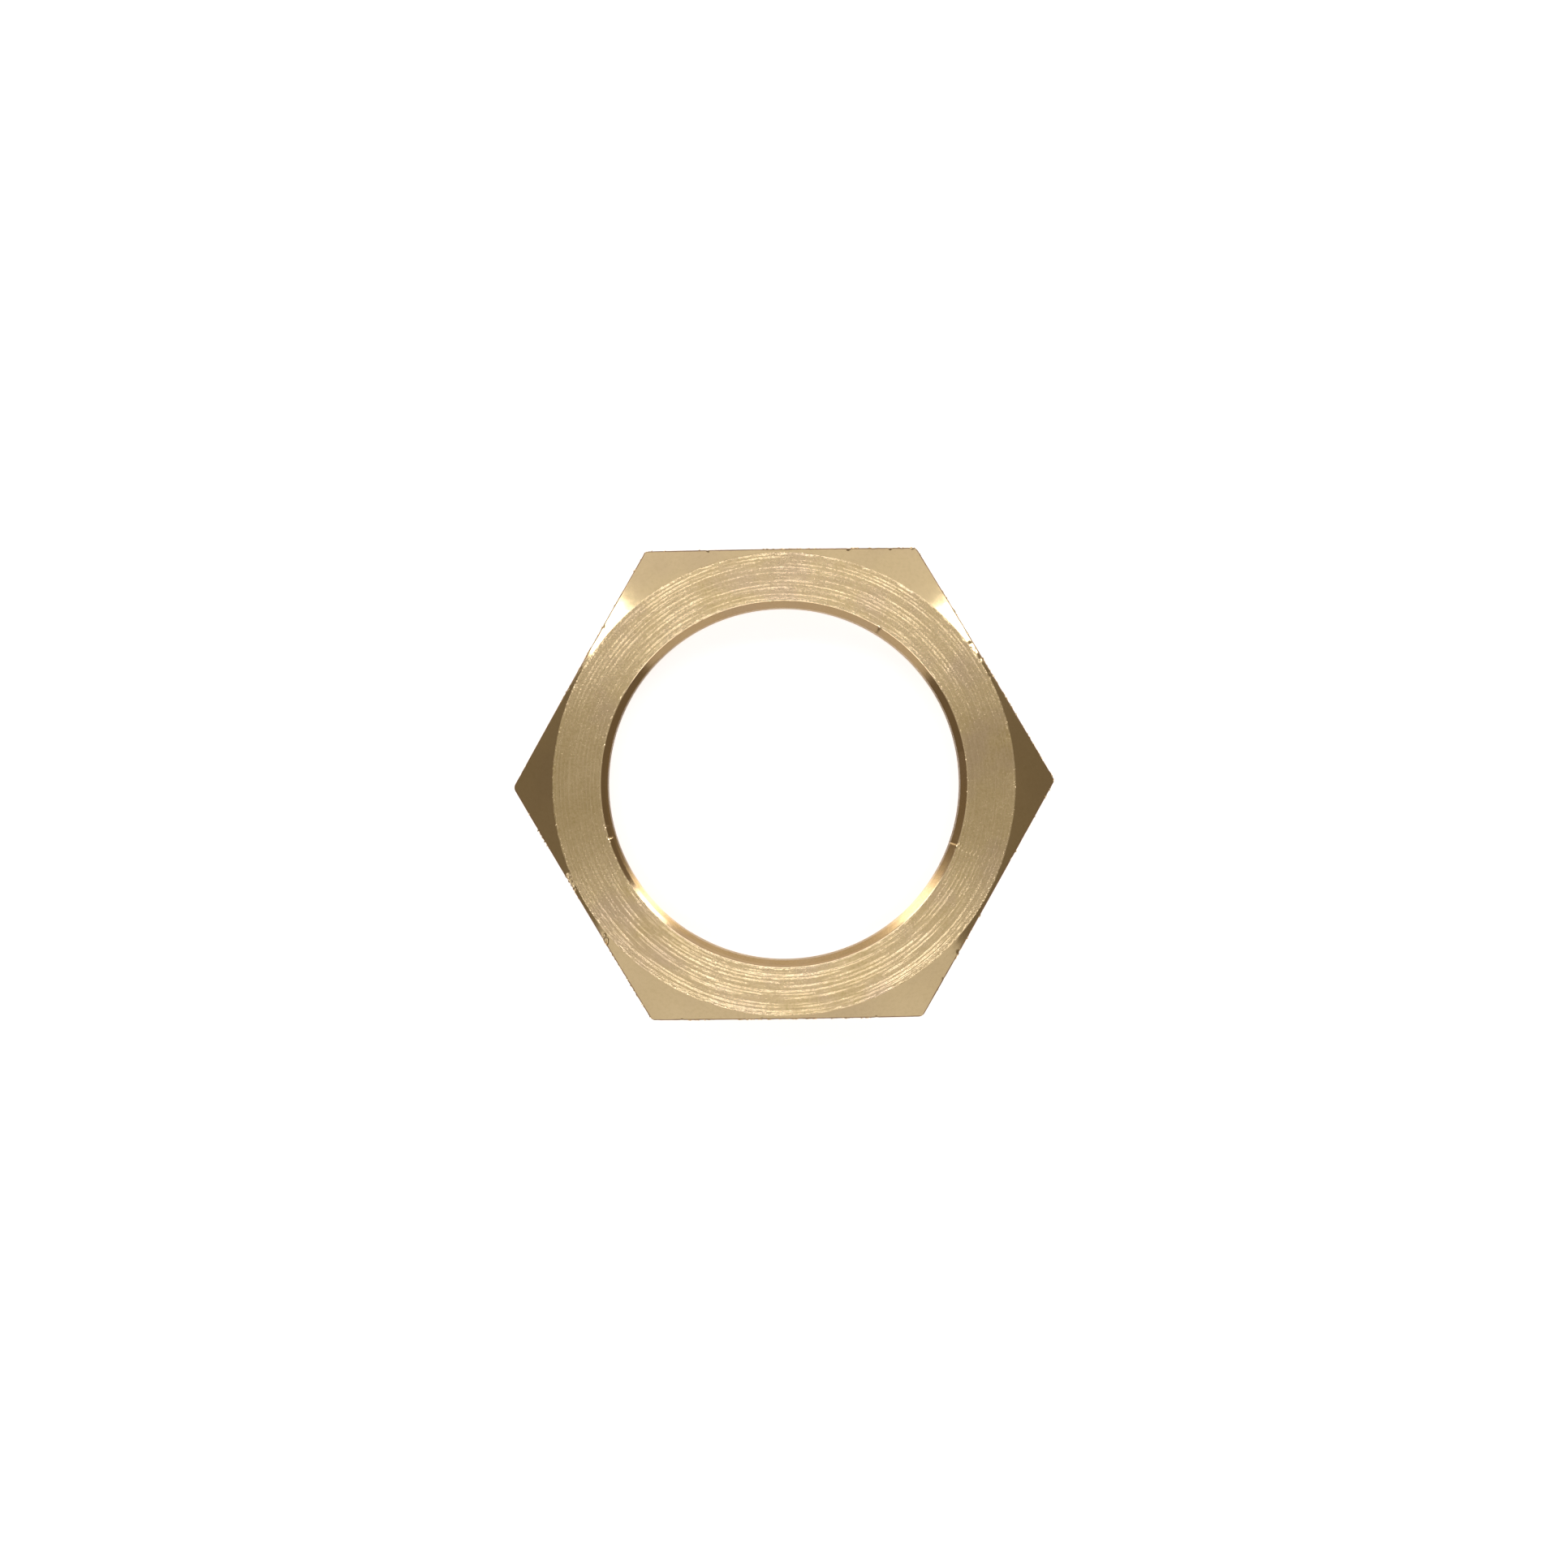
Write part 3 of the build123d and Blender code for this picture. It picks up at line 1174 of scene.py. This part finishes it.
def lights():
    """A plain studio: two fills, two lamps, two overhead strips, a ceiling light and a dim room."""
    world = bpy.data.worlds.new("studio")
    bpy.context.scene.world = world
    world.use_nodes = True
    background = world.node_tree.nodes["Background"]
    background.inputs["Color"].default_value = ROOM
    background.inputs["Strength"].default_value = ROOM_STRENGTH
    card("upper_fill", 48, 131, 31, 0.4, 0.42)
    card("lower_fill", 220, 314, 32, 0.5, 0.36)
    card("right_lamp", 35, 48, 31, 0.3, 3.3)
    card("left_lamp", 131, 146, 31, 0.3, 3.3)
    card("upper_strip", 36, 145, 64, 0.17, 3.1, COOL)
    card("lower_strip", 215, 325, 64, 0.16, 3.1, COOL)
    softbox("ceiling", 90, 90, 0.8, 1.8, 0.5, 0.22)


def camera(studio):
    data = bpy.data.cameras.new("camera")
    data.sensor_width = 36.0
    above_face = studio.camera_height - THICKNESS
    data.lens = data.sensor_width * above_face / studio.view_width
    data.clip_start = 0.01
    eye = bpy.data.objects.new("camera", data)
    eye.location = (0, 0, studio.camera_height)
    eye.rotation_euler = (0, 0, studio.camera_roll)
    bpy.context.scene.collection.objects.link(eye)
    bpy.context.scene.camera = eye
    bpy.context.scene.view_settings.view_transform = "Standard"


# ---------------------------------------------------------------------------------------
# Panel and registration


class VIEW3D_PT_hex_nut(bpy.types.Panel):
    """Lists the nut's settings and the operators that build it"""

    bl_idname = "VIEW3D_PT_hex_nut"
    bl_label = "Brass Hexagon Nut"
    bl_space_type = "VIEW_3D"
    bl_region_type = "UI"
    bl_category = "Hex Nut"

    def draw(self, context):
        scene = context.scene
        for group in (scene.nut_sizes, scene.burr_sizes, scene.brass_colours, scene.studio):
            box = self.layout.box()
            for name in group.bl_rna.properties.keys():
                if name not in ("rna_type", "name"):
                    box.prop(group, name)
        for operator in OPERATORS:
            self.layout.operator(operator.bl_idname)


GROUPS = {
    "nut_sizes": NutSizes,
    "burr_sizes": BurrSizes,
    "brass_colours": BrassColours,
    "studio": Studio,
}
OPERATORS = (MESH_OT_hex_nut_body, MESH_OT_edge_burrs, OBJECT_OT_hex_nut_stage)


def register():
    for kind in (*GROUPS.values(), *OPERATORS, VIEW3D_PT_hex_nut):
        bpy.utils.register_class(kind)
    for name, kind in GROUPS.items():
        setattr(bpy.types.Scene, name, PointerProperty(type=kind))


def unregister():
    for name in GROUPS:
        delattr(bpy.types.Scene, name)
    for kind in (VIEW3D_PT_hex_nut, *OPERATORS, *GROUPS.values()):
        bpy.utils.unregister_class(kind)


def main():
    register()
    bpy.ops.mesh.hex_nut_body()
    bpy.ops.mesh.edge_burrs()
    bpy.ops.object.hex_nut_stage()


if __name__ == "__main__":
    main()
